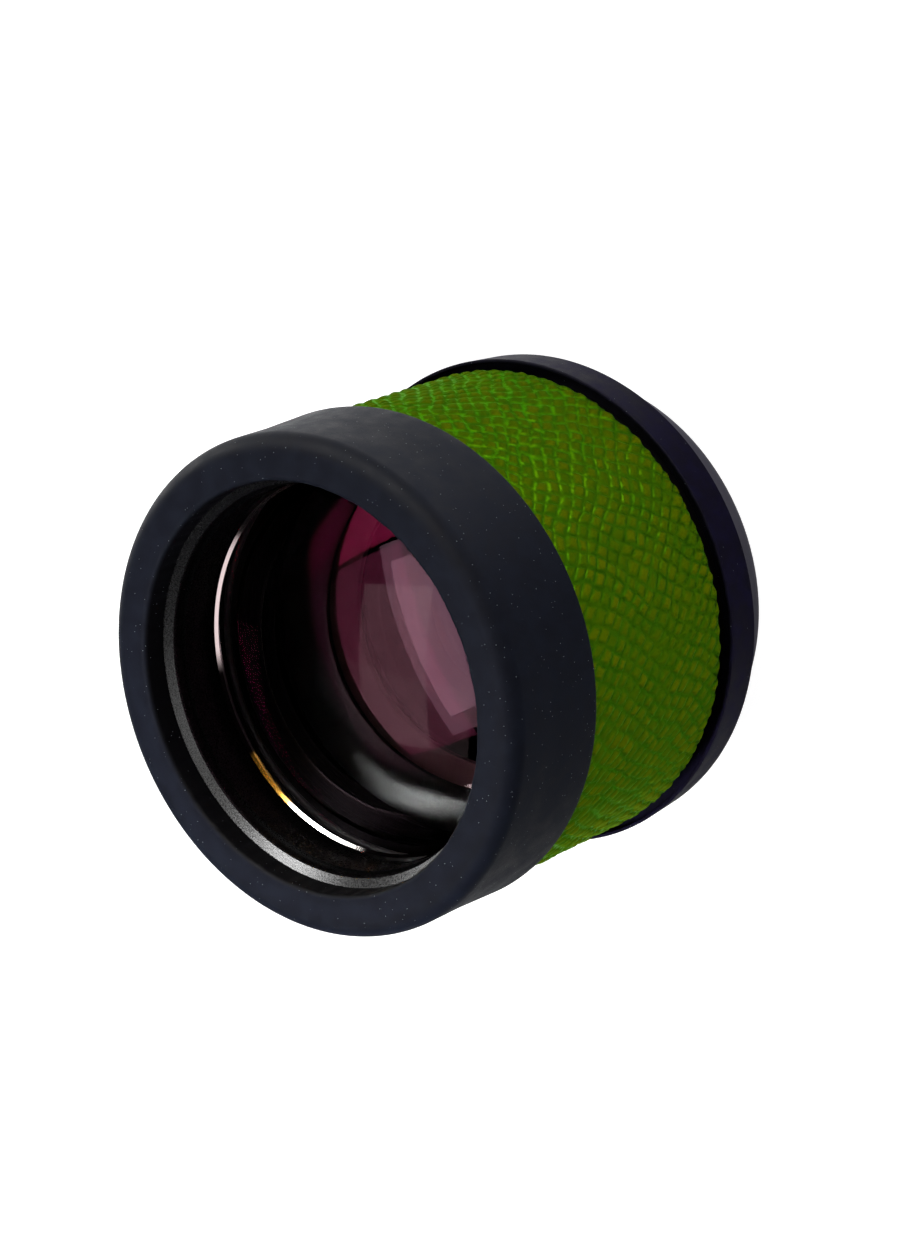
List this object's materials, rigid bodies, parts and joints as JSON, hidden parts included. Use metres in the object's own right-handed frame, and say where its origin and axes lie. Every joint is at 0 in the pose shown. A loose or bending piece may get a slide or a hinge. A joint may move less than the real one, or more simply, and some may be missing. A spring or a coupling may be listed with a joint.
{
  "type": "watchmaker loupe",
  "caption": "Hand-held watchmaker's loupe: leather-wrapped barrel with a soft front guard, coated lens groups and a narrower eye-end ring.",
  "frame": {"origin": "centre of the flat end face on the eye side, where the loupe stands", "axes": "+Z along the optical axis from the eye end to the front guard; X and Y are square to it, and the leather's butt seam lies at 100 degrees from +X"},
  "size_m": [0.0506, 0.0506, 0.046],
  "materials": {
    "guard_rubber": "matte navy-black moulded silicone with fine dust",
    "collar_rubber": "matte violet-black moulded silicone",
    "retainer_metal": "blasted and anodised charcoal grey",
    "black_metal": "anodised matte black",
    "satin_metal": "anodised satin grey with a violet cast",
    "coated_glass": "polished, magenta anti-reflection coating",
    "green_leather": "cross-grained, semi-gloss",
    "adhesive_film": "amber film",
    "seal_rubber": "matte black",
    "slip_plastic": "natural acetal",
    "screw_steel": "blackened steel"
  },
  "bodies": {
    "housing": {"front_retainer": "retainer_metal", "front_crown_lens": "coated_glass", "front_flint_lens": "coated_glass", "front_lens_seal": "seal_rubber", "barrel": "black_metal", "leather_wrap": "green_leather", "leather_adhesive": "adhesive_film", "rear_collar": "collar_rubber", "baffle_tube": "black_metal", "lens_cell": "black_metal", "middle_lens": "coated_glass", "aperture_stop": "black_metal", "eye_spacer": "black_metal", "eye_flint_lens": "coated_glass", "eye_crown_lens": "coated_glass", "eye_slip_ring": "slip_plastic", "eye_retainer": "black_metal", "lock_screws": "screw_steel", "end_ring": "satin_metal", "end_ring_seal": "seal_rubber"},
    "guard": {"front_guard": "guard_rubber"}
  },
  "joints": [
    {"name": "guard_pull_off", "type": "slide", "parent": "housing", "child": "guard", "axis": [0, 0, 1], "range_m": [0, 0.014]}
  ]
}
